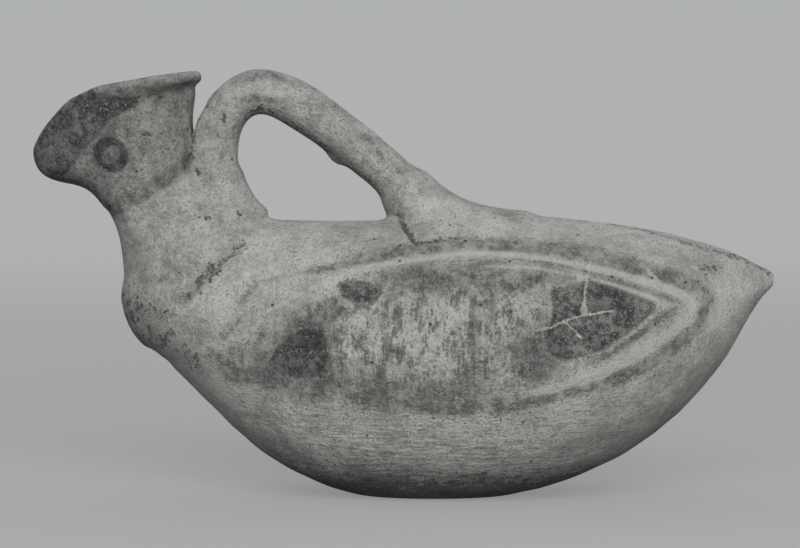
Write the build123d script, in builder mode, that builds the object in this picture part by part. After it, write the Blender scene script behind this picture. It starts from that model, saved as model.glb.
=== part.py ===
"""A hand-built clay vessel in the shape of a resting duck, with a beaked spout and a handle.

The hollow body is two bowls joined rim to rim. A short bent neck stands on the body's front ring
and opens into a spout pinched to a beak. A rolled handle runs from the nape to the back. Coils
and pads of clay lute the pieces together, each on a face that it shares with its neighbour.
Frame: X runs from beak to tail, Y across, Z up. The origin is on the ground below the middle.
"""

import os
from math import sqrt

from build123d import *

# Driving dimensions, in millimetres
wall = 5.5
keel_wall = 7.2
spout_wall = 4.2

# Body: its outline in the X-Z plane and its width across Y
back_height = 89.2
keel_drop = 1.6
keel_low_x = 12.0
tail_reach = 120.0
tail_height = 69.5
tail_tip_size = 5.0
belly_width = 92.0
hollow_end_size = 5.0
seam_front_height = 43.0

# Foot ring, where the neck stands on the body
foot_front_x, foot_front_z = -83.3, 48.3
foot_back_x, foot_back_z = -45.7, 88.6
foot_width = 50.0
neck_seat = 2.2

# Throat ring, where the spout stands on the neck
throat_front_x, throat_front_z = -95.7, 91.5
throat_back_x, throat_back_z = -67.8, 109.0
throat_width = 32.8

# Luting coil round the neck's foot
coil_overhang = 0.4
coil_step = 0.9
coil_height = 22.0

# Spout: its beak, its mouth and the lip coil round the back of the mouth
beak_reach = 120.0
beak_height = 111.5
beak_pinch = 0.6
mouth_width = 47.0
rim_back_height = 138.0
rim_corner_x, rim_corner_z = -98.3, 131.7
lip_side_overhang = 2.2
lip_back_overhang = 1.4
lip_depth = 4.2
lip_end_depth = 2.2

# Handle: a roll of clay bent from the nape to the back
handle_thickness = 14.4
handle_width = 17.0
nape_root_x, nape_root_z = -55.5, 86.3
handle_leg_x = -60.6
crown_x, crown_height = -44.8, 137.6
back_root_x = 9.5
back_root_run, back_root_fall = 13.0, 15.2

# Clay luted round the handle's two roots
luting_step = 0.7
nape_luting_height = 18.0
nape_luting_inside = 6.5
nape_luting_side = 3.0
nape_luting_wrap = 3.5
back_pad_height = 32.0
back_pad_behind = 16.0
back_pad_under = 3.0
back_pad_side = 17.0

# Scrap of clay left under the handle
scrap_length = 9.0
scrap_thickness = 5.2
scrap_drop = 2.0
scrap_share = 0.60


def point(x, z):
    """A point of the vessel's middle plane."""
    return Vector(x, 0, z)


def between(start, end, share):
    """The value a share of the way from start to end."""
    return start + (end - start) * share


class Ring:
    """A closed cross-section that stands square to the middle plane, from a front to a back point."""

    def __init__(self, front, back, half_width, stretches=(1, 1, 1)):
        self.front, self.back, self.half_width = front, back, half_width
        self.up = (back - front).normalized()
        self.front_stretch, self.back_stretch, self.side_stretch = stretches

    def grown(self, front, back, side):
        """The ring moved outward by these amounts, measured square to the form's surface."""
        self.front = self.front - self.up * front * self.front_stretch
        self.back = self.back + self.up * back * self.back_stretch
        self.half_width += side * self.side_stretch
        return self

    def section(self, pinch=0):
        """The ring as a face: an oval, or a pear drawn in at its front by pinch."""
        widest = (1 + 3 * pinch - sqrt(1 + 3 * pinch**2)) / (6 * pinch) if pinch else 0.5
        pull = self.half_width / (3 * widest * (1 - widest) * (1 + pinch - 2 * pinch * widest))
        half_height = (self.back - self.front).dot(self.up) / 2
        blunt, sharp = pull * (1 + pinch), pull * (1 - pinch)
        centre = (self.front + self.back) / 2
        with BuildSketch(Plane(centre, x_dir=(0, 1, 0), z_dir=(self.up.Z, 0, -self.up.X))) as face:
            with BuildLine():
                Bezier((0, half_height), (blunt, half_height), (sharp, -half_height), (0, -half_height))
                Bezier((0, -half_height), (-sharp, -half_height), (-blunt, half_height), (0, half_height))
            make_face()
        return face.sketch


def ring_between(front_line, back_line, half_width, t):
    """The ring t of the way along two outlines, which knows how far its surface leans."""
    front, back = front_line.line, back_line.line
    near, far = max(t - 0.01, 0), min(t + 0.01, 1)
    run = ((front @ far + back @ far) - (front @ near + back @ near)).length / 2
    spread = (half_width(far) - half_width(near)) / run
    up = (back @ t - front @ t).normalized()
    leans = [1 / max((line % t).cross(up).length, 0.5) for line in (front, back)]
    return Ring(front @ t, back @ t, half_width(t), (*leans, sqrt(1 + spread**2)))


# Body: two outlines from the foot ring to the tail's tip, and the width between them
foot_front = point(foot_front_x, foot_front_z)
foot_back = point(foot_back_x, foot_back_z)
with BuildLine() as back_line:
    Spline(
        foot_back,
        point(between(foot_back_x, tail_reach, 0.24), back_height),
        point(between(foot_back_x, tail_reach, 0.52), back_height + 0.6),
        point(between(foot_back_x, tail_reach, 0.76), between(back_height, tail_height, 0.20)),
        point(between(foot_back_x, tail_reach, 0.91), between(back_height, tail_height, 0.53)),
        point(tail_reach, tail_height + tail_tip_size / 2),
    )
with BuildLine() as keel_line:
    Spline(
        foot_front,
        point(between(foot_front_x, keel_low_x, 0.31), between(foot_front_z, -keel_drop, 0.55)),
        point(between(foot_front_x, keel_low_x, 0.66), between(foot_front_z, -keel_drop, 0.95)),
        point(keel_low_x, -keel_drop),
        point(between(keel_low_x, tail_reach, 0.47), between(-keel_drop, tail_height, 0.13)),
        point(between(keel_low_x, tail_reach, 0.80), between(-keel_drop, tail_height, 0.56)),
        point(tail_reach, tail_height - tail_tip_size / 2),
    )


def body_half_width(t):
    """Half the body's width, t of the way from the foot ring to the tail."""
    widest = 0.5
    if t <= widest:
        return between(belly_width, foot_width, (1 - t / widest) ** 2) / 2
    return between(belly_width, tail_tip_size, ((t - widest) / (1 - widest)) ** 1.9) / 2


body_rings = [
    ring_between(keel_line, back_line, body_half_width, t)
    for t in (0, 0.15, 0.35, 0.55, 0.75, 0.9, 1)
]
with BuildPart() as body_form:
    loft([ring.section() for ring in body_rings])
    split(bisect_by=Plane.XY, keep=Keep.TOP)

hollow_rings = [ring.grown(-keel_wall, -wall, -wall) for ring in body_rings]
with BuildPart() as body_shell:
    add(body_form)
    loft(
        [ring.section() for ring in hollow_rings if ring.half_width > hollow_end_size / 2],
        mode=Mode.SUBTRACT,
    )

seam_start, seam_end = point(foot_front_x, seam_front_height), point(tail_reach, tail_height)
seam_run = seam_end - seam_start
seam = Plane(seam_start, z_dir=(-seam_run.Z, 0, seam_run.X))
with BuildPart() as body_bowl:
    add(body_shell)
    split(bisect_by=seam, keep=Keep.BOTTOM)
with BuildPart() as body_cover:
    add(body_shell)
    split(bisect_by=seam, keep=Keep.TOP)

# Neck: it stands on the foot ring, set in by its seat, and bends up to the throat
foot_slope = (foot_back - foot_front).normalized()
throat_front = point(throat_front_x, throat_front_z)
throat_back = point(throat_back_x, throat_back_z)
with BuildLine() as breast_line:
    Spline(
        foot_front + foot_slope * neck_seat,
        point(between(foot_front_x, throat_front_x, 0.42), between(foot_front_z, throat_front_z, 0.28)),
        point(between(foot_front_x, throat_front_x, 0.60), between(foot_front_z, throat_front_z, 0.70)),
        throat_front,
        tangents=[(-0.85, 0, 0.53), (-0.55, 0, 0.84)],
    )
with BuildLine() as nape_line:
    Spline(
        foot_back - foot_slope * neck_seat,
        point(between(foot_back_x, throat_back_x, 0.62), between(foot_back_z, throat_back_z, 0.42)),
        throat_back,
        tangents=[(-0.85, 0, 0.53), (0, 0, 1)],
    )


def neck_half_width(t):
    """Half the neck's width, t of the way from the foot ring to the throat."""
    return between(throat_width, foot_width - 2 * neck_seat, (1 - t) ** 1.6) / 2


def neck_rings(ts, growth=0):
    return [ring_between(breast_line, nape_line, neck_half_width, t).grown(growth, growth, growth) for t in ts]


neck_ts = (0, 0.15, 0.35, 0.6, 0.8, 1)
with BuildPart() as neck_form:
    loft([ring.section() for ring in neck_rings(neck_ts)])
with BuildPart() as neck_tube:
    add(neck_form)
    loft([ring.section() for ring in neck_rings(neck_ts, -wall)], mode=Mode.SUBTRACT)

# Luting coil: it fills the seat round the neck's foot and thins to a step on the neck
coil_end = coil_height / breast_line.edge().length
coil_rings = []
for share in (0, 0.3, 0.6, 0.85, 1):
    thickness = between(coil_step, neck_seat + coil_overhang, sqrt(1 - share**3))
    coil_rings += neck_rings([coil_end * share], thickness)
with BuildPart() as neck_coil:
    loft([ring.section() for ring in coil_rings])
with BuildPart() as neck_luting:
    add(neck_coil)
    add(neck_form, mode=Mode.SUBTRACT)

# Spout: it flares from the throat, draws out into a beak and is trimmed along its rim
with BuildLine() as beak_line:
    Spline(
        throat_front,
        point(between(throat_front_x, -beak_reach, 0.37), between(throat_front_z, beak_height, 0.41)),
        point(between(throat_front_x, -beak_reach, 0.86), between(throat_front_z, beak_height, 0.60)),
        point(-beak_reach, beak_height),
        point(-beak_reach + 2.5, beak_height + 11.5),
        tangents=[(-0.55, 0, 0.84), (0.25, 0, 0.97)],
    )
with BuildLine() as spout_back_line:
    Spline(
        throat_back,
        point(throat_back_x + 0.8, between(throat_back_z, rim_back_height, 0.56)),
        point(throat_back_x + 3.0, rim_back_height + 8.5),
        tangents=[(0, 0, 1), (0.25, 0, 0.97)],
    )


def spout_half_width(t):
    """Half the spout's width, t of the way from the throat to its untrimmed edge."""
    return between(throat_width, mouth_width, t**1.3) / 2


def spout_solid(growth):
    """The untrimmed spout, grown at its front, back and sides by growth(t)."""
    sections = []
    for t in (0, 0.15, 0.35, 0.55, 0.75, 0.9, 1):
        ring = ring_between(beak_line, spout_back_line, spout_half_width, t).grown(*growth(t))
        sections.append(ring.section(beak_pinch * t**1.2))
    with BuildPart() as form:
        loft(sections)
    return form.part


rim_run = point(throat_back_x + wall, rim_back_height) - point(rim_corner_x, rim_corner_z)
rim_back = point(rim_corner_x, rim_corner_z) + rim_run
with BuildPart() as below_rim:
    with BuildSketch(Plane.XZ):
        with BuildLine():
            Line((rim_back.X, rim_back.Z), (rim_corner_x, rim_corner_z))
            Spline(
                (rim_corner_x, rim_corner_z),
                (between(rim_corner_x, -beak_reach, 0.5), between(rim_corner_z, beak_height, 0.31)),
                (-beak_reach, beak_height),
                (-beak_reach - 1.5, beak_height - 3.5),
                tangents=[(-1, -0.14), (-0.4, -0.92)],
            )
            Polyline(
                (-beak_reach - 1.5, beak_height - 3.5),
                (-beak_reach - wall, beak_height - 3.5),
                (-beak_reach - wall, throat_front_z - wall),
                (rim_back.X, throat_front_z - wall),
                (rim_back.X, rim_back.Z),
            )
        make_face()
    extrude(amount=mouth_width, both=True)

with BuildPart() as spout_form:
    add(spout_solid(lambda t: (0, 0, 0)))
    add(below_rim, mode=Mode.INTERSECT)
with BuildPart() as spout:
    add(spout_form)
    add(spout_solid(lambda t: [between(-wall, -spout_wall, t)] * 3), mode=Mode.SUBTRACT)

# Lip coil: it is rolled on round the back of the mouth, level with the rim
with BuildPart() as lip_zone:
    with BuildSketch(Plane.XZ):
        with BuildLine():
            Polyline(
                (rim_corner_x, rim_corner_z),
                (rim_corner_x, rim_corner_z - lip_end_depth),
                (rim_back.X, rim_back.Z - lip_depth),
                (rim_back.X, rim_back.Z),
                close=True,
            )
        make_face()
    extrude(amount=mouth_width, both=True)
with BuildPart() as rim_coil:
    add(spout_solid(lambda t: (0, lip_back_overhang, lip_side_overhang)))
    add(lip_zone, mode=Mode.INTERSECT)
    add(spout_form, mode=Mode.SUBTRACT)

# Handle: a path from inside the nape, over the crown, to inside the back
crown_z = crown_height - handle_thickness / 2
with BuildLine() as handle_line:
    Spline(
        point(nape_root_x, nape_root_z),
        point(handle_leg_x, between(nape_root_z, crown_z, 0.43)),
        point(between(handle_leg_x, crown_x, 0.19), between(nape_root_z, crown_z, 0.83)),
        point(crown_x, crown_z),
        point(between(crown_x, back_root_x, 0.21), between(crown_z, back_height, 0.112)),
        point(between(crown_x, back_root_x, 0.69), between(crown_z, back_height, 0.585)),
        point(back_root_x + back_root_run, back_height - back_root_fall),
    )
handle_length = handle_line.edge().length


def handle_ring(t, above=0, below=0, beside=0):
    """The handle's cross-section t of the way along it, grown above, below and to its sides."""
    centre, run = handle_line.line @ t, handle_line.line % t
    outward = Vector(-run.Z, 0, run.X) * handle_thickness / 2
    return Ring(centre + outward, centre - outward, handle_width / 2).grown(above, below, beside).section()


with BuildPart() as handle_form:
    loft([handle_ring(t / 8) for t in range(9)])
with BuildPart() as handle:
    add(handle_form)
    for neighbour in (body_form, neck_form, neck_coil, spout_form):
        add(neighbour, mode=Mode.SUBTRACT)

# Luting at the nape: it flares from the handle's leg down onto the neck and the body
nape_sections = []
for share in (0, 0.25, 0.5, 0.75, 1):
    flare = (1 - share) ** 2
    inside = between(luting_step, nape_luting_inside, flare)
    side = between(luting_step, nape_luting_side, flare)
    t = share * nape_luting_height / handle_length
    nape_sections.append(handle_ring(t, -nape_luting_wrap, inside, side))
with BuildPart() as handle_nape_luting:
    loft(nape_sections)
    for neighbour in (handle_form, body_form, neck_form, neck_coil, spout_form):
        add(neighbour, mode=Mode.SUBTRACT)

# Pad at the back: it flares from the handle down onto the body, furthest behind the handle
pad_sections = []
for share in (0, 0.2, 0.4, 0.65, 1):
    behind = between(luting_step, back_pad_behind, share**1.7)
    under = between(luting_step, back_pad_under, share)
    side = between(luting_step, back_pad_side, share**2 * (3 - 2 * share))
    pad_sections.append(handle_ring(1 - (1 - share) * back_pad_height / handle_length, behind, under, side))
with BuildPart() as handle_back_pad:
    loft(pad_sections)
    for neighbour in (handle_form, body_form):
        add(neighbour, mode=Mode.SUBTRACT)

# Scrap: a flake of clay stuck under the handle, left from the making
scrap_run = handle_line.line % scrap_share
scrap_down = Vector(scrap_run.Z, 0, -scrap_run.X)
scrap_at = handle_line.line @ scrap_share + scrap_down * (handle_thickness / 2 + scrap_drop - scrap_thickness / 2)
with BuildPart() as handle_scrap:
    with BuildSketch(Plane(scrap_at, x_dir=scrap_run, z_dir=(0, 1, 0))):
        Ellipse(scrap_length / 2, scrap_thickness / 2)
        split(bisect_by=Plane.XZ)
    revolve(axis=Axis(scrap_at, scrap_run))
    add(handle_form, mode=Mode.SUBTRACT)

os.makedirs("parts", exist_ok=True)
for label, piece in {
    "body_bowl": body_bowl,
    "body_cover": body_cover,
    "neck_tube": neck_tube,
    "neck_luting": neck_luting,
    "spout": spout,
    "rim_coil": rim_coil,
    "handle": handle,
    "handle_nape_luting": handle_nape_luting,
    "handle_back_pad": handle_back_pad,
    "handle_scrap": handle_scrap,
}.items():
    piece.part.label = label
    export_step(piece.part, f"parts/{label}.step")
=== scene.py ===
import bpy
import numpy as np
import openvdb
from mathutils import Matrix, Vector, noise


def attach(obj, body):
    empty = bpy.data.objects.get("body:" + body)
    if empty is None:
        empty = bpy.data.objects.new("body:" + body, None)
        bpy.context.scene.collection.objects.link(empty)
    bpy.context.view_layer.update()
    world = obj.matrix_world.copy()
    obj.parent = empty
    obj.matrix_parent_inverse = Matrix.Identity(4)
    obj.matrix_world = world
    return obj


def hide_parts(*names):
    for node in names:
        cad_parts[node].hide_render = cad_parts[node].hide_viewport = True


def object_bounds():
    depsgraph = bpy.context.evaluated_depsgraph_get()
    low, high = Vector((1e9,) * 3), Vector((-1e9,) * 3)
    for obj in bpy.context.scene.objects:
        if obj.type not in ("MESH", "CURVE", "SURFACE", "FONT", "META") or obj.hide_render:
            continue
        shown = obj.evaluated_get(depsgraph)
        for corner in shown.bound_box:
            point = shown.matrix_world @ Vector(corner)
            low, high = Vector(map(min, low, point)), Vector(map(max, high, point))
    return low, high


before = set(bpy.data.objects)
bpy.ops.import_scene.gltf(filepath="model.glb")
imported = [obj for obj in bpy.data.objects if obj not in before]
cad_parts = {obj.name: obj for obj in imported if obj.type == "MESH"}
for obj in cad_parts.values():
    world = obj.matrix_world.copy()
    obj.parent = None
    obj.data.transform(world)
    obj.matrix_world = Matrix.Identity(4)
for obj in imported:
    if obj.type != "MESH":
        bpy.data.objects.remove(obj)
cad_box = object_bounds()

# The wet clay. The potter presses the soft lumps together with slip and draws the clay over each
# joint with the fingers, so the fired vessel has one skin. Each lump is read as a field of depths,
# the fields are run together as widely as the joint was smoothed, and the skin is taken from them.
STEP = 0.001  # from one point of a field to the next, in metres
FIELD_REACH = 7  # how far from its lump a field is true, in steps
FIELD_MARGIN = 8  # how far the fields run on outside the CAD box, in steps
low, high = (np.array(corner) for corner in cad_box)
first = np.floor(low / STEP).astype(int) - FIELD_MARGIN
count = np.ceil(high / STEP).astype(int) + FIELD_MARGIN + 1 - first
grid_scale = openvdb.createLinearTransform(voxelSize=STEP)
along_x, _, along_z = (
    ((first[i] + np.arange(count[i])) * STEP).reshape([-1 if i == j else 1 for j in range(3)])
    for i in range(3)
)


def lump(name):
    """The depth of each grid point in one lump of clay, in metres, negative inside it."""
    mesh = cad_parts[name].data
    mesh.calc_loop_triangles()
    points = np.empty(len(mesh.vertices) * 3, np.float32)
    corners = np.empty(len(mesh.loop_triangles) * 3, np.int32)
    mesh.vertices.foreach_get("co", points)
    mesh.loop_triangles.foreach_get("vertices", corners)
    surface = openvdb.FloatGrid.createLevelSetFromPolygons(
        points.reshape(-1, 3),
        triangles=corners.reshape(-1, 3).astype(np.uint32),
        transform=grid_scale,
        halfWidth=float(FIELD_REACH),
    )
    depth = np.empty(tuple(int(n) for n in count), np.float32)
    surface.copyToArray(depth, ijk=tuple(int(n) for n in first))
    return depth


def luted(clay, added, reach):
    """Two fields run together over a joint as wide as reach."""
    share = np.clip(0.5 + 0.5 * (added - clay) / reach, 0, 1)
    return added * (1 - share) + clay * share - reach * share * (1 - share)


def ramp(value, start, end):
    """0 before start and 1 after end, smooth between them."""
    t = np.clip((value - start) / (end - start), 0, 1)
    return t * t * (3 - 2 * t)


def from_line(seen, line):
    """The distance in pixels from a line of (x, y) or (x, y, width) points, less half the width."""
    best = np.full(len(seen), 1e3)
    for a, b in zip(line, line[1:]):
        start, run = np.array(a[:2], float), np.array(b[:2], float) - np.array(a[:2], float)
        t = np.clip((seen - start) @ run / max(run @ run, 1e-9), 0, 1)
        off = np.linalg.norm(seen - start - t[:, None] * run, axis=1)
        if len(a) > 2:
            off = off - 0.5 * (a[2] + t * (b[2] - a[2]))
        best = np.minimum(best, off)
    return best


def patch(seen, *outlines):
    """How far inside any of these outlines a point is, in pixels."""
    deepest = np.full(len(seen), -1e3)
    for outline in outlines:
        inside = np.zeros(len(seen), bool)
        closed = outline + outline[:1]
        for (ax, ay), (bx, by) in zip(closed, closed[1:]):
            if ay != by:
                crosses = (ay > seen[:, 1]) != (by > seen[:, 1])
                inside ^= crosses & (seen[:, 0] < ax + (seen[:, 1] - ay) * (bx - ax) / (by - ay))
        off = from_line(seen, closed)
        deepest = np.maximum(deepest, np.where(inside, off, -off))
    return deepest


LUMPS = (
    "body_bowl",
    "body_cover",
    "neck_luting",
    "neck_tube",
    "spout",
    "rim_coil",
    "handle",
    "handle_nape_luting",
    "handle_back_pad",
    "handle_scrap",
)
# How wide each joint is drawn over with the fingers, in metres.
RIM_JOINT = 0.0012
NECK_COIL_JOINT = 0.0030
NECK_JOINT = 0.0010
FLAKE_JOINT = 0.0008
NAPE_JOINT = 0.0035
PAD_JOINT = 0.0080
HANDLE_JOINT = 0.0070
HANDLE_JOINT_SHARPER = 0.0060  # less at the nape, the throat and the crack in the rear root
# Where that is: from full to none along x, from none to full up z at the throat, and at a crack
# that leans as it rises.
NAPE_ENDS = (-0.040, -0.020)
THROAT_ENDS = (-0.062, -0.056)
THROAT_STARTS = (0.100, 0.112)
CRACK_ENDS = (0.008, 0.016)
CRACK_LEAN = 0.35
CRACK_HEIGHT = 0.080
# The gap between the back of the spout and the handle, in millimetres of x and z.
SPOUT_GAP = [
    (-67.9, 116.6), (-68.7, 119), (-68.8, 122), (-68.6, 125), (-68.0, 128), (-67.3, 131),
    (-66.6, 134), (-63.0, 132), (-63.4, 126.4), (-65.9, 122), (-67.0, 118),
]
SMOOTHED_ALONG = (0, 1, 2, 0, 1, 2)  # a wet hand over the whole vessel, twice along each axis

lumps = {name: lump(name) for name in LUMPS}
body = np.minimum(lumps["body_bowl"], lumps["body_cover"])
head = np.minimum(lumps["neck_tube"], lumps["spout"])
head = luted(head, lumps["rim_coil"], RIM_JOINT)
vessel = luted(luted(body, lumps["neck_luting"], NECK_COIL_JOINT), head, NECK_JOINT)
grip = luted(lumps["handle"], lumps["handle_scrap"], FLAKE_JOINT)
grip = luted(grip, lumps["handle_nape_luting"], NAPE_JOINT)
grip = luted(grip, lumps["handle_back_pad"], PAD_JOINT)
nape_side = 1 - ramp(along_x, *NAPE_ENDS)
throat_side = ramp(along_z, *THROAT_STARTS) * (1 - ramp(along_x, *THROAT_ENDS))
crack_side = 1 - ramp(along_x + CRACK_LEAN * (along_z - CRACK_HEIGHT), *CRACK_ENDS)
crack_side = (1 - nape_side) * crack_side
sharper = np.clip(throat_side + crack_side + 0.6 * nape_side, 0, 1)
clay = luted(vessel, grip, HANDLE_JOINT - HANDLE_JOINT_SHARPER * sharper)
for axis in SMOOTHED_ALONG:
    clay = (np.roll(clay, 1, axis) + 2 * clay + np.roll(clay, -1, axis)) / 4
gap_x, gap_z = np.broadcast_arrays(along_x[:, 0] * 1e3, along_z[0] * 1e3)
gap = patch(np.stack((gap_x.ravel(), gap_z.ravel()), axis=1), SPOUT_GAP).reshape(gap_x.shape)
clay = np.maximum(clay, gap[:, None, :] / 1e3).astype(np.float32)

wet = openvdb.FloatGrid(FIELD_REACH * STEP)
wet.copyFromArray(clay, ijk=tuple(int(n) for n in first))
wet.transform = grid_scale
wet.gridClass = openvdb.GridClass.LEVEL_SET
skin, _, skin_faces = wet.convertToPolygons(isovalue=0.0, adaptivity=0.0)
skin = np.array(skin, np.float64)
skin_faces = np.array(skin_faces, np.int64)


def outward(points, faces):
    """The smooth normal at each point of a mesh of quads."""
    a, b, c, d = (points[faces[:, i]] for i in range(4))
    flat = np.cross(c - a, d - b)
    summed = np.zeros_like(points)
    for axis in range(3):
        for i in range(4):
            summed[:, axis] += np.bincount(faces[:, i], flat[:, axis], len(points))
    return summed / np.maximum(np.linalg.norm(summed, axis=1, keepdims=True), 1e-12)


# The faces are turned over if they face into the clay.
a, b, c, d = (skin[skin_faces[:, i]] for i in range(4))
if np.einsum("ij,ij->", (a + c) / 2, np.cross(c - a, d - b)) < 0:
    skin_faces = skin_faces[:, ::-1]


NOISE_SHIFT = (3.7, 1.9, 2.3)  # from one seed's noise to the next


def uneven(points, size, seed, stretch=(1, 1, 1)):
    """Smooth noise from -1 to 1 over points, in patches of about this size in metres."""
    places = points / (size * np.array(stretch)) + np.array(NOISE_SHIFT) * seed
    return np.array([noise.noise(place) for place in places.tolist()])


# The side view, in which the vessel's marks are laid out in pixels of a picture of 800 by 548.
VIEW_FROM = (-0.001, -0.9, 0.12)
VIEW_ALONG = (0, 0.9, -0.0487)
VIEW_LENS = 125  # mm
VIEW_SCALE = 2777.8  # the lens in pixels
VIEW_MIDDLE = (400, 274)


def side_view(points):
    """Where points of either flank are in the side view, in pixels."""
    ahead = np.array(VIEW_ALONG) / np.hypot(*VIEW_ALONG[1:])
    up = np.array((0, -ahead[2], ahead[1]))
    from_eye = np.stack((points[:, 0], -np.abs(points[:, 1]), points[:, 2]), axis=1) - VIEW_FROM
    depth = from_eye @ ahead
    right = VIEW_SCALE * from_eye[:, 0] / depth
    rise = VIEW_SCALE * (from_eye @ up) / depth
    return np.stack((VIEW_MIDDLE[0] + right, VIEW_MIDDLE[1] - rise), axis=1)


def stroke(seen, *lines):
    """How far inside any of these brush strokes a point is, in pixels."""
    return np.max([-from_line(seen, line) for line in lines], axis=0)


# The tool and finger marks that cross from one lump to the next, in pixels of the side view.
NECK_CREASE = [(240, 242), (221, 260), (208, 273), (193, 290), (178, 306)]
NECK_RIDGE = [(250, 250), (230, 269), (216, 283), (200, 300), (184, 316)]
REAR_CRACK = [(398, 217, 3), (408, 233, 4), (415, 244, 3)]
REAR_LEDGE = [(415, 244, 3), (436, 241, 2), (460, 236, 1)]
REAR_SWELL = [(420, 230), (455, 224)]
LIP_GROOVE = [(116, 101), (140, 99), (165, 94), (196, 87)]
LIP_ROLL = [(124, 92), (160, 85), (198, 77)]
# Each line that is pressed in, with its depth in metres, negative for a ridge, and its width.
PRESSED = (
    (NECK_CREASE, 0.0012, 3.4), (NECK_RIDGE, -0.0009, 7), (REAR_CRACK, 0.0009, 2.4),
    (REAR_LEDGE, 0.0006, 2.2), (REAR_SWELL, -0.0005, 9),
)
PRESSED_OUTSIDE = ((LIP_GROOVE, 0.0009, 3), (LIP_ROLL, -0.0006, 4))
# How the skin wavers under the hand: the depth, the size of a patch, and the seed.
WAVERS = ((0.00050, 0.034, 1), (0.00020, 0.012, 2))
BOX_FADE = 0.004  # how near the CAD box the hand's marks fade out
TAIL_PINCH = 0.18  # how much finer the fingers leave the tail than the cover's solid
TAIL_PINCHED_FROM, TAIL_PINCHED_TO = 0.104, 0.122
TAIL_TIP = 0.0704  # the height of the tail's point
BORDER_ROUNDS = 8  # how often the border between two lumps is evened out


def pressed(seen, lines):
    """Rounded grooves along lines, and ridges where the depth is negative."""
    return sum(
        -depth * np.exp(-((from_line(seen, [place[:2] for place in line]) / width) ** 2))
        for line, depth, width in lines
    )


skin_normals = outward(skin, skin_faces)
skin_seen = side_view(skin)
outside = ramp(skin[:, 1] * skin_normals[:, 1], -0.002, 0.002)
hand = sum(depth * uneven(skin, size, seed) for depth, size, seed in WAVERS)
hand += pressed(skin_seen, PRESSED) + outside * pressed(skin_seen, PRESSED_OUTSIDE)
hand *= ramp(np.minimum(skin - low, high - skin).min(axis=1), 0, BOX_FADE)
skin = np.clip(skin + skin_normals * hand[:, None], low, high)
pinch = TAIL_PINCH * ramp(skin[:, 0], TAIL_PINCHED_FROM, TAIL_PINCHED_TO)
skin[:, 1] *= 1 - pinch
skin[:, 2] += (TAIL_TIP - skin[:, 2]) * pinch
skin_normals = outward(skin, skin_faces)

# Each face of the skin belongs to the lump that is nearest under it, with the borders evened out.
middles = skin[skin_faces].mean(axis=1)
spot = np.clip(np.rint(middles / STEP).astype(int) - first, 0, count - 1)
depths = np.stack([lumps[name][spot[:, 0], spot[:, 1], spot[:, 2]] for name in LUMPS])
lump_of = depths.argmin(axis=0)
for _ in range(BORDER_ROUNDS):
    votes = np.zeros((len(LUMPS), len(skin)))
    for i in range(4):
        for k in range(len(LUMPS)):
            votes[k] += np.bincount(skin_faces[:, i], lump_of == k, len(skin))
    lump_of = votes[:, skin_faces].sum(axis=2).argmax(axis=0)
rows = skin_faces.tolist()
face_at = {
    (corners[i], corners[(i + 1) % 4]): (n, i)
    for n, corners in enumerate(rows)
    for i in range(4)
}


def joints_of(k):
    """The open loops of one lump's skin: each a list of points, and the lump beyond each."""
    after, beyond = {}, {}
    for n in np.flatnonzero(lump_of == k).tolist():
        for i in range(4):
            edge = (rows[n][i], rows[n][(i + 1) % 4])
            across = face_at.get((edge[1], edge[0]))
            if across is not None and lump_of[across[0]] != k:
                beyond[edge] = LUMPS[lump_of[across[0]]]
    for edge in beyond:
        n, i = face_at[edge]
        while True:
            i = (i + 1) % 4
            step = (rows[n][i], rows[n][(i + 1) % 4])
            if step in beyond:
                break
            n, i = face_at[(step[1], step[0])]
        after[edge] = step
    loops, left = [], set(beyond)
    for edge in list(beyond):
        if edge in left:
            loop, names = [], []
            while edge in left:
                left.discard(edge)
                loop.append(edge[0])
                names.append(beyond[edge])
                edge = after[edge]
            loops.append((loop, names))
    return loops


def wall(near, far):
    """Triangles between two chains of points, near run forwards and far run backwards."""
    made, i, j = [], 0, 0
    while i + 1 < len(near) or j + 1 < len(far):
        if j + 1 >= len(far) or (i + 1 < len(near) and i * len(far) <= j * len(near)):
            made.append((near[i + 1], near[i], far[j]))
            i += 1
        else:
            made.append((near[i], far[j], far[j + 1]))
            j += 1
    return made


def ring_wall(points, outer, inner):
    """The wall between two loops round the same hollow, where a tube of clay ends."""
    inner = inner[::-1]
    start = int(np.linalg.norm(points[inner] - points[outer[0]], axis=1).argmin())
    inner = inner[start:] + inner[: start + 1]
    return wall(outer + outer[:1], inner)


def cut_wall(points, loop):
    """The wall across one loop, laid where it is narrowest."""
    half = len(loop) // 2
    widths = [
        sum(
            np.linalg.norm(points[loop[(k + i) % len(loop)]] - points[loop[k - i]])
            for i in range(1, half)
        )
        for k in range(len(loop))
    ]
    k = int(np.argmin(widths))
    turned = loop[k:] + loop[:k]
    walls = wall(turned[: half + 1], turned[:1] + turned[:half:-1])
    return [tri for tri in walls if len(set(tri)) == 3]


WALL_TURN = 0.0022  # how far the skin turns in at a joint before its wall runs across
HELD_RINGS = 5  # the rows of faces beside a joint over which a piece's own hand marks fade out
TUBE_REACH = 0.022  # the two loops round a hollow end are nearer to each other than this
ANY_REACH = 1.0  # more than the whole vessel


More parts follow.
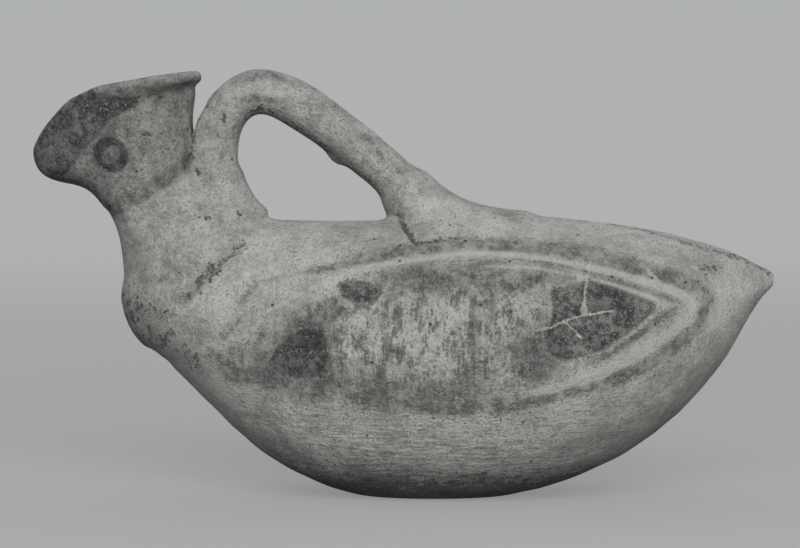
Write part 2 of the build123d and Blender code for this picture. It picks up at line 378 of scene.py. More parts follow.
def piece_of(name, work=None, hollow=False, gripped=()):
    """One lump's share of the skin, worked by hand and closed where it meets the other lumps.

    work gives how far the hand pushes each point out, hollow says that its ends are tubes, and
    gripped names the lumps that cover one side of such a tube.
    """
    k = LUMPS.index(name)
    used, own = np.unique(skin_faces[lump_of == k], return_inverse=True)
    own = own.reshape(-1, 4)
    points, normals = skin[used].copy(), skin_normals[used].copy()
    place = dict(zip(used.tolist(), range(len(used))))
    loops = [([place[p] for p in loop], names) for loop, names in joints_of(k)]
    if work:
        rings = np.full(len(points), float(HELD_RINGS))
        rings[[p for loop, _ in loops for p in loop]] = 0
        for _ in range(HELD_RINGS):
            nearest = rings[own].min(axis=1) + 1
            for i in range(4):
                np.minimum.at(rings, own[:, i], nearest)
        push = work(points, normals) * ramp(rings, 0, HELD_RINGS)
        points = np.clip(points + normals * push[:, None], low, high)
        normals = np.where(rings[:, None] > 0, outward(points, own), normals)
    walls, free = [], []
    for loop, names in sorted(loops, key=lambda one: len(one[0]), reverse=True):
        sunk = list(range(len(points), len(points) + len(loop)))
        points = np.vstack([points, points[loop] - WALL_TURN * normals[loop]])
        normals = np.vstack([normals, normals[loop]])
        for i in range(len(loop)):
            a, b, c, d = loop[i - 1], loop[i], sunk[i - 1], sunk[i]
            walls += [(b, a, c), (b, c, d)]
        free.append((sunk, names))

    def partner_of(chain, within):
        """Takes the free loop that is nearest to this one, if it is near enough."""
        gaps = [
            np.linalg.norm(points[loop].mean(axis=0) - points[chain].mean(axis=0))
            for loop, _ in free
        ]
        return free.pop(int(np.argmin(gaps)))[0] if gaps and min(gaps) < within else None

    while free:
        loop, names = free.pop(0)
        held = [beyond in gripped for beyond in names]
        if any(held):
            start = next(i for i in range(len(loop)) if held[i - 1] and not held[i])
            loop, held = loop[start:] + loop[:start], held[start:] + held[:start]
            runs = []
            for i, here in enumerate(held):
                if not runs or runs[-1][0] != here:
                    runs.append((here, [loop[i]]))
                runs[-1][1].append(loop[(i + 1) % len(loop)])
            for here, end in runs:
                if not here:
                    walls += ring_wall(points, end, partner_of(end, ANY_REACH))
            sides = [side for here, side in runs if here]
            walls += wall(sides[0], sides[1][::-1])
            continue
        partner = partner_of(loop, TUBE_REACH) if hollow else None
        if partner:
            walls += ring_wall(points, loop, partner)
        else:
            walls += cut_wall(points, loop)
    mesh = bpy.data.meshes.new(name)
    mesh.from_pydata(points.tolist(), [], own.tolist() + walls)
    mesh.shade_smooth()
    mesh.normals_split_custom_set_from_vertices(normals.tolist())
    made = bpy.data.objects.new(name + "_fired", mesh)
    bpy.context.scene.collection.objects.link(made)
    return made


# The body: two bowls pressed from slabs, luted rim to rim and beaten to a leaf shape with a pointed
# tail. The flanks are burnished and carry a painted wing, and the underside is pared with a knife.
PARED = ((300, 464), (470, 484), (590, 446), (664, 384))  # middles of the knife's flats
PARED_DEPTH = 0.0005
PARED_MOST = 0.0006
SCRAPE_DEPTH, SCRAPE_SIZE, SCRAPE_STRETCH = 0.00022, 0.0045, (9, 3, 1)
SCRAPED_BELOW = 0.022
SMOOTH_ABOVE = 0.040
UNMARKED = -30  # pixels, well outside any brush mark
NO_SCRATCH = 9


def mark(piece, **marks):
    """Stores on a piece's points the marks that its material reads.

    painted, faded and reserved are pixels inside a brush's marks, across is pixels to one side of
    a scratch, and the others are shares from 0 to 1.
    """
    plain = {
        "painted": UNMARKED, "faded": UNMARKED, "reserved": UNMARKED, "soiled": 0, "pale": 0,
        "streaked": 0, "dim": 0, "scratched": 0, "across": NO_SCRATCH,
    }
    size = len(piece.data.vertices)
    for name, value in {**plain, **marks}.items():
        layer = piece.data.attributes.new(name, "FLOAT", "POINT")
        layer.data.foreach_set("value", np.broadcast_to(value, size).astype(np.float32))


def points_of(piece):
    """The points of a finished piece, one row each."""
    found = np.empty(len(piece.data.vertices) * 3)
    piece.data.vertices.foreach_get("co", found)
    return found.reshape(-1, 3)


def pared(points, normals):
    """The knife's flats, and the scrapes that run along the underside."""
    seen = side_view(points)
    push = np.zeros(len(points))
    for side in (-1, 1):
        flank = points[:, 1] * side > -0.004
        for x, y in PARED:
            near = int(np.argmin(np.hypot(*(seen - (x, y)).T) + 1e3 * (points[:, 1] * side < 0)))
            above = (points - points[near]) @ normals[near] + PARED_DEPTH
            push -= np.where(flank, np.maximum(above, 0), 0) * (above < PARED_MOST)
    push = np.maximum(push, -PARED_MOST)
    low_down = 1 - ramp(points[:, 2], SCRAPED_BELOW, SMOOTH_ABOVE)
    scrapes = uneven(points, SCRAPE_SIZE, 5, SCRAPE_STRETCH)
    return push + SCRAPE_DEPTH * low_down * scrapes


# The painted wing, what has worn and soiled it, and the shade painted in its creases and under it,
# in pixels of the side view.
WING = [
    (236, 352), (262, 327), (300, 303), (338, 285), (380, 271), (430, 264), (485, 261), (537, 263),
    (589, 275), (640, 290), (684, 304), (660, 326), (622, 352), (590, 370), (540, 386), (480, 394),
    (400, 392), (340, 388), (290, 384), (252, 372),
]
WING_WASH = (
    [(250, 350), (268, 335), (292, 316), (336, 296), (345, 310), (330, 330), (340, 372), (400, 378),
     (480, 386), (540, 386), (556, 398), (480, 412), (380, 412), (300, 402), (256, 382)],
    [(420, 262), (520, 262), (550, 272), (545, 300), (500, 290), (430, 290), (380, 300),
     (370, 285)],
    [(520, 330), (552, 322), (560, 365), (530, 384), (515, 360)],
)
WING_TIPS = (
    [(551, 289), (569, 286), (592, 281), (617, 288), (642, 298), (656, 304), (652, 313),
     (624, 336), (603, 350), (574, 359), (560, 362), (547, 350), (545, 330), (553, 314)],
    [(279, 346), (290, 335), (303, 329), (325, 330), (327, 345), (331, 369), (311, 378),
     (292, 376), (277, 371), (268, 360)],
    [(338, 284), (352, 280), (372, 283), (381, 292), (372, 303), (352, 302), (342, 296)],
)
WING_BAND = (
    [(219, 339, 2), (226, 327, 3), (230, 322, 0)],
    [(236, 312, 1), (243, 300, 4), (250, 291, 5), (257, 284, 2)],
    [(262, 282, 0), (292, 274, 2), (330, 268, 6), (370, 256, 12), (400, 251, 13),
     (430, 247, 13), (459, 244, 14), (506, 245, 13), (548, 248, 13), (585, 252, 15),
     (616, 262, 17), (642, 269, 16), (668, 276, 16), (695, 287, 15), (708, 297, 12)],
    [(708, 297, 10), (697, 323, 11), (680, 343, 14), (653, 362, 15), (625, 375, 15),
     (600, 383, 14), (570, 391, 12), (538, 400, 13), (500, 407, 16), (450, 410, 15),
     (400, 404, 16), (350, 396, 17), (310, 390, 18), (280, 383, 16), (255, 378, 16),
     (235, 374, 18), (222, 362, 14), (211, 350, 6)],
)
WING_LINES = (
    [(400, 271, 4), (433, 272, 5), (462, 268, 5), (490, 262, 3), (517, 259, 3), (564, 265, 4),
     (597, 274, 5), (627, 284, 6), (657, 294, 5), (684, 302, 6)],
    [(684, 305, 4), (656, 321, 7), (628, 342, 8), (606, 356, 9), (588, 364, 5)],
    [(239, 345, 4), (240, 353, 6), (241, 362, 4)],
    [(225, 337, 3), (234, 326, 4), (239, 320, 2)],
    [(231, 348, 6), (233, 366, 9), (243, 380, 9)],
    [(264, 328, 5), (259, 348, 8), (266, 372, 7)],
    [(384, 274, 7), (386, 300, 9), (383, 326, 6)],
    [(398, 284, 5), (395, 318, 7)],
    [(462, 268, 6), (458, 290, 6)],
    [(476, 280, 3), (472, 330, 5), (474, 372, 3)],
    [(494, 274, 3), (492, 318, 4)],
    [(385, 349, 6), (402, 352, 7)],
    [(519, 364, 5), (522, 374, 6)],
    [(428, 276, 6), (446, 285, 5)],
)
RESERVED = (
    [(252, 330, 4), (267, 312, 3), (300, 294, 4), (328, 280, 4), (370, 266, 4), (400, 262, 4),
     (459, 254, 5), (506, 254, 5), (548, 259, 5), (585, 267, 6), (616, 273, 6), (650, 283, 8),
     (680, 293, 8), (693, 305, 9), (691, 318, 10), (668, 334, 11), (640, 353, 11),
     (602, 374, 10), (560, 387, 9), (530, 392, 6)],
    [(485, 266, 2), (537, 268, 3), (589, 278, 3), (624, 288, 3), (657, 300, 4), (668, 305, 5),
     (655, 315, 3), (628, 337, 3), (606, 352, 3)],
    [(641, 262, 1), (650, 273, 4), (660, 283, 3)],
)
SCRATCHES = (
    [(589, 267), (586, 285), (584, 303)],
    [(539, 330), (553, 327), (564, 321), (585, 315), (610, 311)],
    [(563, 321), (571, 328), (579, 335)],
    [(716, 326), (735, 331)],
)
SCRATCHED_SPOTS = ([(584, 305, 5), (584, 311, 9)], [(577, 334, 3), (580, 337, 4)])
PALE_BACK = [(478, 224), (540, 220), (600, 226), (628, 240), (600, 243), (540, 238), (482, 234)]
PALE_TAIL = [(713, 278), (740, 272), (754, 290), (738, 316), (718, 330), (706, 332), (716, 305)]
WING_MIDDLE = [(300, 300), (380, 275), (470, 266), (545, 275), (550, 380), (430, 396), (320, 385)]
TAIL_RIDGE = [(612, 224, 2), (650, 231, 4), (700, 247, 5), (740, 258, 5), (769, 272, 6)]
TAIL_SMUDGE = [(694, 258), (722, 266), (722, 276), (700, 272)]
BREAST_SHADE_AND_GRIME = [(118, 300), (152, 315), (205, 366), (196, 372), (140, 336)]
# The shade in the crease above the neck's coil, painted dark on the body and the neck.
NECK_CREASE_SHADE = [
    (243, 245, 1), (233, 253, 4), (222, 262, 8), (211, 271, 8), (203, 280, 5), (193, 291, 3),
    (183, 301, 1),
]
MIDLINE = 0.0025  # half the strip along the vessel's middle that a flank's brush doesn't reach


def hairline(seen):
    """How far to one side of the nearest scratch a point is, in pixels, and how near its run."""
    across, nearest = np.full(len(seen), float(NO_SCRATCH)), np.full(len(seen), 1e3)
    for line in SCRATCHES:
        for a, b in zip(line, line[1:]):
            off = from_line(seen, [a, b])
            run = np.array(b, float) - a
            side = ((seen - a) @ (-run[1], run[0])) / np.hypot(*run)
            across = np.where(off < nearest, side, across)
            nearest = np.minimum(nearest, off)
    return across, 1 - ramp(nearest, 2.5, 6)


def rear_crack_shade(seen):
    """The shade in the crack beside the handle's rear root, painted dark, thinner along the ledge
    under it.
    """
    crack = ramp(stroke(seen, REAR_CRACK), -2.5, 1.0)
    return np.maximum(crack, 0.55 * ramp(stroke(seen, REAR_LEDGE), -3.5, 2.0))


def body_marks(piece):
    """The painted wing, the wear and the grime on the two bowls, and the shade painted in their
    creases and towards the foot.
    """
    points = points_of(piece)
    seen = side_view(points)
    flank = np.abs(points[:, 1]) > MIDLINE
    washed = patch(seen, *WING_WASH) * 0.25 - 0.3
    brushed = np.maximum(stroke(seen, *WING_BAND, *WING_LINES), washed)
    middle = ramp(patch(seen, WING_MIDDLE), -12, 12)
    # Painted shade under the breast, with some grime.
    soiled = 0.50 * ramp(patch(seen, BREAST_SHADE_AND_GRIME), -18, 14)
    soiled += 0.5 * ramp(stroke(seen, TAIL_RIDGE), -3, 3)
    soiled += 0.5 * ramp(patch(seen, TAIL_SMUDGE), -5, 5)
    # Painted shade in the crack by the rear root and in the neck's crease.
    soiled += rear_crack_shade(seen) + 0.62 * ramp(stroke(seen, NECK_CREASE_SHADE), -10, 4)
    # Painted shade, with some soot, darkening the underside towards the foot.
    soiled += 0.95 * ramp(points[:, 2], 0.016, 0.001)
    pale_back = 0.3 * ramp(patch(seen, PALE_BACK), -6, 8)
    pale_tail = 0.8 * ramp(patch(seen, PALE_TAIL), -6, 8)
    # Painted shade towards the foot on the clay's own greys as well.
    dim_foot = ramp(points[:, 2], 0.026, 0.004)
    across, scratched = hairline(seen)
    mark(
        piece,
        painted=np.where(flank, np.maximum(patch(seen, *WING_TIPS), UNMARKED), UNMARKED),
        faded=np.where(flank, brushed, UNMARKED),
        reserved=np.maximum(stroke(seen, *RESERVED), stroke(seen, *SCRATCHED_SPOTS) * 2),
        soiled=np.clip(soiled, 0, 1),
        pale=np.maximum(pale_back, pale_tail),
        streaked=ramp(patch(seen, WING), -3, 14) * (0.45 + 0.55 * middle),
        dim=np.maximum(dim_foot, 0.3 * ramp(patch(seen, WING), -10, 10)),
        scratched=scratched,
        across=across,
    )


class Slip:
    """One output of a material's or the room's nodes. A sum on it lays a Math node."""

    def __init__(self, tree, socket=None):
        self.tree, self.socket = tree, socket

    def lay(self, kind, settings=None, values=None, out=0):
        """Adds one node with its settings, then the values or links of its inputs."""
        node = self.tree.nodes.new(kind)
        for name, value in (settings or {}).items():
            setattr(node, name, value)
        for name, value in (values or {}).items():
            if isinstance(value, Slip):
                self.tree.links.new(value.socket, node.inputs[name])
            else:
                node.inputs[name].default_value = value
        return Slip(self.tree, node.outputs[out])

    def sum(self, operation, *values):
        """One Math node on these values."""
        return self.lay("ShaderNodeMath", {"operation": operation}, dict(enumerate(values)))

    def __add__(self, other):
        return self.sum("ADD", self, other)

    def __sub__(self, other):
        return self.sum("SUBTRACT", self, other)

    def __rsub__(self, other):
        return self.sum("SUBTRACT", other, self)

    def __mul__(self, other):
        return self.sum("MULTIPLY", self, other)

    __radd__, __rmul__ = __add__, __mul__

    def between(self, start, end):
        """0 at start and 1 at end, smooth between them."""
        return self.lay(
            "ShaderNodeMapRange",
            {"interpolation_type": "SMOOTHSTEP"},
            {"Value": self, "From Min": start, "From Max": end},
        )

    def over(self, under, colour):
        """This much of a colour over what is under it."""
        return self.lay(
            "ShaderNodeMix", {"data_type": "RGBA"}, {0: self, 6: under, 7: colour}, out=2
        )

    def looked_at(self):
        """1 where the eye sees it, straight or in a gloss, and 0 for the light that it throws."""
        ways = ("Is Camera Ray", "Is Glossy Ray", "Is Transmission Ray")
        straight, glossy, through = (self.lay("ShaderNodeLightPath", out=way) for way in ways)
        return straight + glossy + through


# The greys of the clay, of what lies on it and of the shade painted on it, as bright as they are
# seen, from 0 to 255.
CLAY_LIGHT, CLAY_DARK = 190, 134
# Darker clay greys, for painted shade and for the darker tone of the head, neck and wing.
SHADE_AND_TONE_LIGHT, SHADE_AND_TONE_DARK = 172, 90
PALE = 200
DIRT = 84
STREAK_DARK, STREAK_LIFTED = 70, 194
FADED_SLIP, FULL_SLIP = 66, 48
RESERVED_CLAY = 178
# The dark of real grime and of painted shade alike.
GRIME_AND_SHADE = 58
PIT = 50
CHALK = 184
SCRATCH = 190
BUMP_DEPTH = 0.0019  # metres
CLAY_ROUGHNESS = 0.88
CLAY_SPECULAR = 0.28


def grey(level):
    """A slightly green grey of this brightness as seen, from 0 to 255."""
    value = (level / 255) ** 2.2
    return (value * 0.978, value, value * 0.94, 1)


def fired_clay(name):
    """Weathered, hand-burnished clay with a dark slip painted on it, worn through in places."""
    material = bpy.data.materials.new(name)
    material.use_nodes = True
    tree = material.node_tree
    tree.nodes.clear()
    slip = Slip(tree)
    place = slip.lay("ShaderNodeTexCoord", out="Object")

    def cloud(size, detail=2.0, roughness=0.6, stretch=(1, 1, 1)):
        """Soft noise in patches of about this size in metres, about 0.5."""
        at = slip.lay("ShaderNodeMapping", None, {"Vector": place, "Scale": stretch})
        values = {"Vector": at, "Scale": 1 / size, "Detail": detail, "Roughness": roughness}
        return slip.lay("ShaderNodeTexNoise", None, values)

    def specks(size):
        """The distance from scattered points, and a number picked for each of them."""
        return [
            slip.lay("ShaderNodeTexVoronoi", None, {"Vector": place, "Scale": 1 / size}, out=out)
            for out in ("Distance", "Color")
        ]

    def layer(mark_name):
        """One of the marks that mark() stored on the piece."""
        return slip.lay("ShaderNodeAttribute", {"attribute_name": mark_name}, out="Fac")

    broad = cloud(0.030)
    mottle = cloud(0.0080, 5.0, 0.70)
    blotch = cloud(0.0030, 4.0, 0.72)
    grain = cloud(0.0014, 4.0, 0.80)
    fine = cloud(0.0006, 2.0, 0.8)
    streaks = cloud(1.0, 4.0, 0.65, (1000, 1000, 150))
    scrapes = cloud(1.0, 4.0, 0.70, (90, 160, 700))
    rise = slip.lay("ShaderNodeSeparateXYZ", None, {"Vector": place}, out="Z")
    scraped = rise.between(0.045, 0.018)
    pit, pit_pick = specks(0.0042)
    pits = (1 - (pit + (fine - 0.5) * 0.3).between(0.05, 0.13)) * pit_pick.between(0.66, 0.70)
    crumbs = grain * 0.72 + blotch * 0.28
    dirt = (crumbs + (fine - 0.5) * 0.30).between(0.545, 0.62)
    chalk = 1 - (crumbs - (fine - 0.5) * 0.45).between(0.37, 0.43)
    speck = (mottle - 0.5) * 1.2 + (blotch - 0.5) * 2.6 + (grain - 0.5) * 3.0 + (fine - 0.5) * 1.4

    def worn(share, wear=1.0):
        """A share of cover from 0 to 1 that breaks up into specks where it is thin."""
        return (share + speck * wear).between(0.30, 0.70) * share.between(0.02, 0.20)

    tone = (mottle * 0.7 + broad * 0.4 + blotch * 0.7 + grain * 1.2).between(1.24, 1.76)
    tone = tone + scraped * (scrapes - 0.5) * 1.1
    colour = tone.over(grey(CLAY_DARK), grey(CLAY_LIGHT))
    # Darker greys for painted shade and for darker tone, as each piece's marks give them.
    colour = layer("dim").over(colour, tone.over(grey(SHADE_AND_TONE_DARK), grey(SHADE_AND_TONE_LIGHT)))
    colour = (layer("pale") * 0.55).over(colour, grey(PALE))
    colour = (dirt * 0.62).over(colour, grey(DIRT))

    dabs = cloud(1.0, 5.0, 0.74, (230, 230, 110))
    streaked = layer("streaked")
    scumble = (streaks * 0.50 + dabs * 1.0 + blotch * 0.5 + grain * 0.5).between(1.26, 1.14)
    colour = (streaked * scumble * 0.66).over(colour, grey(STREAK_DARK))
    lifted = (streaks * 0.45 + dabs * 0.8 + blotch * 0.3 + grain * 0.6).between(1.13, 1.22)
    colour = (streaked * lifted * 0.58).over(colour, grey(STREAK_LIFTED))

    patchy = (mottle * 0.8 + blotch * 0.6).between(0.84, 0.58)
    rubbed = (blotch * 1.0 + grain * 0.7).between(0.80, 0.92)
    faded = worn(layer("faded").between(-7, 5) * (0.58 + patchy * 0.42), 0.85)
    faded = faded * (0.50 + patchy * 0.34) * (1 - rubbed * 0.30)
    colour = faded.over(colour, grey(FADED_SLIP))
    cover = worn(layer("painted").between(-5, 5), 0.72)
    cover = cover * (0.80 + patchy * 0.20) * (1 - rubbed * 0.32)
    colour = (cover * 0.96).over(colour, grey(FULL_SLIP))
    reserved = worn(layer("reserved").between(-3, 3), 0.5)
    colour = (reserved * 0.62).over(colour, grey(RESERVED_CLAY))
    # Real grime, with painted shade in the creases, under the breast, under the handle and towards
    # the foot.
    grime_and_shade = worn(layer("soiled"), 0.95)
    colour = (grime_and_shade * 0.80).over(colour, grey(GRIME_AND_SHADE))
    colour = (pits * 0.80).over(colour, grey(PIT))
    colour = (chalk * (0.34 + cover * 0.16)).over(colour, grey(CHALK))
    line = slip.sum("ABSOLUTE", layer("across") + (grain - 0.5) * 9).between(1.5, 0.4)
    colour = (line * layer("scratched") * 0.62).over(colour, grey(SCRATCH))

    height = grain * 0.85 + fine * 0.35 + mottle * 0.45 + blotch * 0.60 - pits * 1.2 - dirt * 0.25
    height = height + cover * 0.12 + streaked * (streaks * 0.5 + blotch * 0.6)
    height = height + scraped * scrapes * 0.9
    bump = slip.lay(
        "ShaderNodeBump", None, {"Height": height, "Strength": 1.0, "Distance": BUMP_DEPTH}
    )
    shader = tree.nodes.new("ShaderNodeBsdfPrincipled")
    shader.inputs["Specular IOR Level"].default_value = CLAY_SPECULAR
    finish = tree.nodes.new("ShaderNodeOutputMaterial")
    tree.links.new(colour.socket, shader.inputs["Base Color"])
    roughness = CLAY_ROUGHNESS - cover * 0.08 + (grain - 0.5) * 0.12
    tree.links.new(roughness.socket, shader.inputs["Roughness"])
    tree.links.new(bump.socket, shader.inputs["Normal"])
    tree.links.new(shader.outputs[0], finish.inputs["Surface"])
    return material


vessel_clay = fired_clay("vessel_clay")
for name in ("body_bowl", "body_cover"):
    bowl = piece_of(name, pared if name == "body_bowl" else None, hollow=True)
    body_marks(bowl)
    bowl.data.materials.append(vessel_clay)
    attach(bowl, "root")
    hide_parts(name)

# The neck: a short bent tube of clay on the front of the body, with a coil smeared round its foot.
# The coil's lower edge is drawn down over the breast, and the shade in the crease above it is
# painted dark.
THROAT_BAND = [(112, 212, 12), (140, 195, 13), (166, 180, 13), (180, 170, 14), (189, 157, 10)]
BREAST_SHADE_AND_SMUDGE = [(138, 300), (160, 306), (172, 318), (150, 332), (132, 318)]
HEAD = [(10, 60), (215, 60), (200, 120), (193, 158), (166, 182), (140, 198), (108, 216), (20, 210)]
NECK_SPECKS = (
    [(205, 215, 4), (208, 219, 5)], [(176, 268, 3), (178, 274, 3)], [(238, 205, 5), (240, 214, 4)],
)
# The underside of the breast below the coil, painted dark as shade.
COIL_UNDERSIDE = [(122, 296), (138, 330), (200, 376), (190, 384), (118, 330)]


def neck_marks(piece):
    """The darkened throat, the shade painted in the crease and under the breast, and the wear on
    the neck.
    """
    seen = side_view(points_of(piece))
    soiled = 0.62 * ramp(stroke(seen, NECK_CREASE_SHADE), -10, 4)
    # Painted shade, with some smudge, on the breast and under the coil.
    soiled += 0.4 * ramp(patch(seen, BREAST_SHADE_AND_SMUDGE), -16, 12)
    soiled += 0.5 * ramp(patch(seen, COIL_UNDERSIDE), -18, 10)
    soiled += 0.7 * ramp(stroke(seen, *NECK_SPECKS), -3, 2)
    mark(
        piece,
        faded=stroke(seen, THROAT_BAND),
        soiled=np.clip(soiled, 0, 1),
        dim=0.45 + 0.55 * ramp(patch(seen, HEAD), -16, 12),
    )


for name in ("neck_tube", "neck_luting"):
    neck = piece_of(name, gripped=("handle", "handle_nape_luting") if name == "neck_tube" else ())
    neck_marks(neck)
    neck.data.materials.append(vessel_clay)
    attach(neck, "root")
    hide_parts(name)

# The spout: the head of the duck, a flaring spout drawn out in front to a pinched, dark-slipped
# beak, with a ring painted for each eye. A thin coil is rolled on round the back of the mouth.
BEAK_CAP = [
    (25, 150), (50, 115), (88, 84), (95, 92), (116, 97), (140, 97), (136, 106), (122, 112),
    (108, 121), (98, 134), (86, 146), (78, 158), (71, 168), (60, 185), (25, 180),
]
# The dark line under the lip: slip, with the shadow under the rolled lip painted into it.
UNDER_LIP = [
    (112, 103, 12), (125, 104, 10), (140, 101, 9), (156, 97, 9), (173, 92, 8), (192, 86, 7),
]
# Painted shade along the underside of the beak and the chin.
CHIN_SHADE = [(55, 178, 8), (75, 181, 9), (92, 191, 9), (106, 206, 8), (114, 220, 7)]
LIP_WEAR = (
    [(118, 92, 5), (128, 90, 6)], [(136, 88, 8), (150, 84, 9), (161, 82, 7)],
    [(184, 84, 4), (196, 79, 5)],
)
EYE = (110.8, 154.5)
EYE_RING = 13.2  # the ring's radius
EYE_BRUSH = 8.6  # the width of the brush that drew it
BRUSH_SLANT = 0.85  # which way the brush was broad, in radians
PUPIL = [(107, 156, 5), (112, 160, 4)]
BEAK_WORN = [(36, 146), (56, 120), (82, 108), (84, 132), (66, 158), (44, 164)]
# The top of the rolled lip, painted lighter where the light falls on it.
LIT_LIP_TOP = [(118, 90, 6), (160, 80, 8), (200, 74, 8)]
GOUGE = [(143, 135), (149, 135)]
GOUGE_GRIME = [(143, 134.6, 1.2), (149, 134.8, 1.4)]
GOUGE_DEPTH = 0.0007
FINGER_DEPTH, FINGER_SIZE = 0.00020, 0.009
# Painted shade in the gap between the spout and the handle.
NAPE_SHADE = [(193, 118, 3), (194, 140, 4), (191, 160, 5)]  # between the spout and the handle


def normals_of(piece):
    """The way that each point of a finished piece faces."""
    return np.array([normal.vector[:] for normal in piece.data.vertex_normals])


def spout_marks(piece):
    """The painted head, with painted shade under the lip and the chin, on the outside of the spout
    only.
    """
    points = points_of(piece)
    seen = side_view(points)
    facing_out = points[:, 1] * normals_of(piece)[:, 1] > -0.0008
    outside = facing_out | (np.abs(points[:, 1]) < MIDLINE)
    from_eye = seen - EYE
    around = np.arctan2(from_eye[:, 1], from_eye[:, 0])
    brush = EYE_BRUSH * (1 + 0.28 * np.cos(2 * (around - BRUSH_SLANT)))
    ring = 0.5 * brush - np.abs(np.hypot(*from_eye.T) - EYE_RING)
    cap = patch(seen, BEAK_CAP) - 7 * ramp(patch(seen, BEAK_WORN), -5, 8)
    brushed = stroke(seen, UNDER_LIP, THROAT_BAND, *LIP_WEAR)
    brushed = np.maximum.reduce((brushed, ring * 2 + 1, stroke(seen, PUPIL) * 2))
    soiled = 0.75 * ramp(stroke(seen, CHIN_SHADE), -8, 6) + ramp(stroke(seen, GOUGE_GRIME), -2.5, 1)
    soiled += 0.7 * ramp(stroke(seen, NAPE_SHADE), -4, 3)
    mark(
        piece,
        painted=np.where(outside, np.maximum(cap, ring * 1.9 - 1.6), UNMARKED),
        faded=np.where(outside, brushed, UNMARKED),
        soiled=np.clip(soiled, 0, 1) * outside,
        dim=ramp(patch(seen, HEAD), -16, 12) * (1 - 0.5 * ramp(stroke(seen, LIT_LIP_TOP), -3, 3)),
    )


def gouged(points, normals):
    """The nick of a tool in the cheek, and the uneven press of fingers."""
    nick = 1 - ramp(from_line(side_view(points), GOUGE), 0.6, 3.2)
    return -GOUGE_DEPTH * nick + FINGER_DEPTH * uneven(points, FINGER_SIZE, 7)


for name in ("spout", "rim_coil"):
    head_piece = piece_of(name, gouged if name == "spout" else None, hollow=name == "spout")
    spout_marks(head_piece)
    head_piece.data.materials.append(vessel_clay)
    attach(head_piece, "root")
    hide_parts(name)

# The handle: one thick roll of clay bent from the nape to the back. A pad of clay is smoothed up
# behind its rear root, more is pressed into the nape, and a flake has stuck under the arm.
CROWN_SPECKS = (
    [(247, 80, 3), (258, 75, 5), (272, 75, 6), (284, 80, 3)],
    [(243, 100, 4), (256, 97, 6), (275, 100, 4)],
)
ARM_SPECKS = (
    [(344, 118, 3), (352, 124, 4)], [(362, 136, 5), (372, 142, 4)], [(378, 151, 4), (383, 160, 4)],
    [(366, 160, 3), (371, 166, 4)], [(398, 170, 3), (404, 176, 3)], [(455, 225, 3), (462, 229, 3)],
)
LEG_PITS = (
    [(223, 114, 3), (223, 120, 4)], [(217, 134, 3), (217, 136, 3)], [(197, 171, 4), (198, 173, 4)],
)
REAR_ROOT = [(402, 196), (452, 196), (500, 214), (516, 232), (420, 240)]
ROLLED_DEPTH, ROLLED_SIZE, ROLLED_STRETCH = 0.00030, 0.008, (1.8, 1, 1.2)


def handle_marks(piece):
    """The specks and pits on the roll, the shade painted under it and the pale pad behind it."""
    seen = side_view(points_of(piece))
    down = -normals_of(piece)[:, 2]
    soiled = ramp(stroke(seen, *LEG_PITS), -1.5, 1) + rear_crack_shade(seen)
    # Painted shade on the faces that turn down, and in the gap at the nape.
    soiled += 0.5 * ramp(down, 0.3, 0.9) + 0.6 * ramp(stroke(seen, NAPE_SHADE), -3, 2)
    mark(
        piece,
        faded=stroke(seen, *CROWN_SPECKS, *ARM_SPECKS) + 0.4,
        soiled=np.clip(soiled, 0, 1),
        pale=0.7 * ramp(patch(seen, REAR_ROOT), -6, 8),
        # Painted shade on the faces that turn down, over a darker tone.
        dim=0.45 + 0.55 * ramp(down, 0.1, 0.8),
    )


def rolled(points, normals):
    """The long, flat marks that rolling and smoothing leave on the arm."""
    return ROLLED_DEPTH * uneven(points, ROLLED_SIZE, 9, ROLLED_STRETCH)


for name in ("handle", "handle_nape_luting", "handle_back_pad", "handle_scrap"):
    roll = piece_of(name, rolled if name == "handle" else None)
    handle_marks(roll)
    roll.data.materials.append(vessel_clay)
    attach(roll, "root")
    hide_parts(name)

# The table: one wide sheet of pale grey paper, laid flat and running on out of sight. As the eye
# sees it, it is paler than the light that it throws back.
SHEET_REACH = 9.0
PAPER, PAPER_DUST = (0.142, 0.147, 0.145, 1), (0.10, 0.105, 0.103, 1)
PAPER_AWAY = (0.02, 0.021, 0.0205, 1)  # far off and under the lamp, where the glow alone is seen
PAPER_THROWN = (0.10, 0.10, 0.10, 1)
GLOW_NEAR, GLOW_FAR = (0.242, 0.250, 0.246, 1), (0.420, 0.433, 0.426, 1)
NO_GLOW = (0, 0, 0, 1)
GLOW_SPREAD = 1.9  # how far off the glow is at its palest
DUST_SCALE = (9, 60, 60)
sheet_mesh = bpy.data.meshes.new("paper")
sheet_mesh.from_pydata(
    [(SHEET_REACH * x, SHEET_REACH * y, 0) for x, y in ((-1, -1), (1, -1), (1, 1), (-1, 1))],
    [],
    [(0, 1, 2, 3)],
)
sheet = bpy.data.objects.new("paper", sheet_mesh)
bpy.context.scene.collection.objects.link(sheet)
paper = bpy.data.materials.new("paper")
paper.use_nodes = True
paper_shader = paper.node_tree.nodes["Principled BSDF"]
paper_shader.inputs["Roughness"].default_value = 0.9
paper_shader.inputs["Specular IOR Level"].default_value = 0.0
paper_shader.inputs["Emission Strength"].default_value = 1.0
ply = Slip(paper.node_tree)
spread = ply.lay("ShaderNodeTexCoord", out="Object")
drift = ply.lay("ShaderNodeMapping", None, {"Vector": spread, "Scale": DUST_SCALE})
dust = ply.lay("ShaderNodeTexNoise", None, {"Vector": drift, "Scale": 1.0, "Detail": 4.0})
far_off = ply.lay("ShaderNodeVectorMath", {"operation": "LENGTH"}, {0: spread}, out="Value")
far_off = far_off.between(0.0, GLOW_SPREAD)
lamp_side = ply.lay("ShaderNodeSeparateXYZ", None, {"Vector": spread}, out="Y").between(-0.3, -1.0)
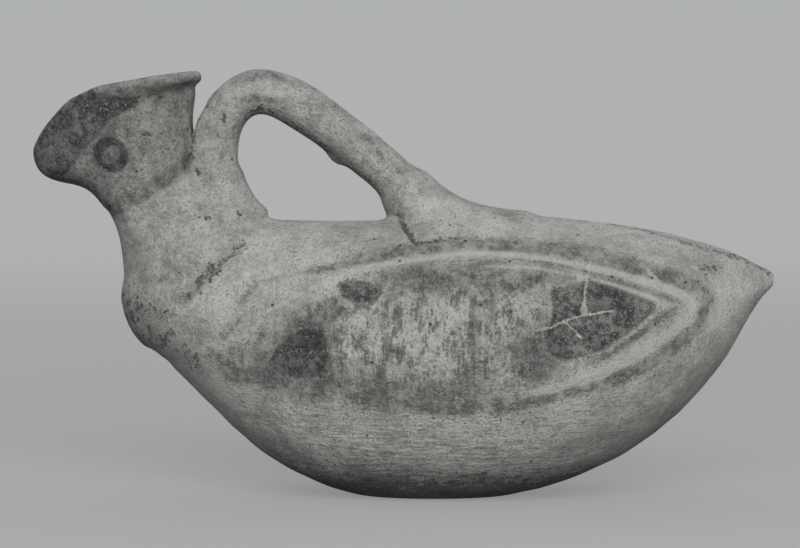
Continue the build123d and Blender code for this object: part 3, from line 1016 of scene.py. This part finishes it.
looked_at = ply.looked_at()
tinted = (dust.between(0.58, 0.75) * 0.12).over(PAPER, PAPER_DUST)
tinted = lamp_side.over(far_off.over(tinted, PAPER_AWAY), PAPER_AWAY)
tinted = looked_at.over(PAPER_THROWN, tinted)
paper.node_tree.links.new(tinted.socket, paper_shader.inputs["Base Color"])
glow = looked_at.over(NO_GLOW, far_off.over(GLOW_NEAR, GLOW_FAR))
paper.node_tree.links.new(glow.socket, paper_shader.inputs["Emission Color"])
sheet_mesh.materials.append(paper)

# The light: a broad soft lamp above the camera, in an even grey room that is brighter behind the
# vessel, where the windows are. The room looks as pale as the paper.
ROOM_FRONT, ROOM_BEHIND = (0.28, 0.28, 0.28, 1), (1.30, 1.30, 1.30, 1)
ROOM_SEEN = (0.435, 0.448, 0.440, 1)
LAMP_PLACE = (0.10, -1.42, 0.68)
room = bpy.data.worlds.new("room")
room.use_nodes = True
air = Slip(room.node_tree)
way = air.lay("ShaderNodeTexCoord", out="Generated")
behind = air.lay("ShaderNodeSeparateXYZ", None, {"Vector": way}, out="Y").between(-0.2, 1.0)
room_colour = air.looked_at().over(behind.over(ROOM_FRONT, ROOM_BEHIND), ROOM_SEEN)
room.node_tree.links.new(room_colour.socket, room.node_tree.nodes["Background"].inputs["Color"])
bpy.context.scene.world = room
lamp = bpy.data.lights.new("window", "AREA")
lamp.energy = 36
lamp.size = 1.3
window = bpy.data.objects.new("window", lamp)
window.location = LAMP_PLACE
window.rotation_euler = (-Vector(LAMP_PLACE)).to_track_quat("-Z", "Y").to_euler()
window.visible_camera = False
bpy.context.scene.collection.objects.link(window)
bpy.context.scene.view_settings.view_transform = "Standard"

# The camera: square on to the left flank, a little above it.
lens = bpy.data.cameras.new("camera")
lens.lens = VIEW_LENS
camera = bpy.data.objects.new("camera", lens)
camera.location = VIEW_FROM
camera.rotation_euler = Vector(VIEW_ALONG).to_track_quat("-Z", "Y").to_euler()
bpy.context.scene.collection.objects.link(camera)
bpy.context.scene.camera = camera
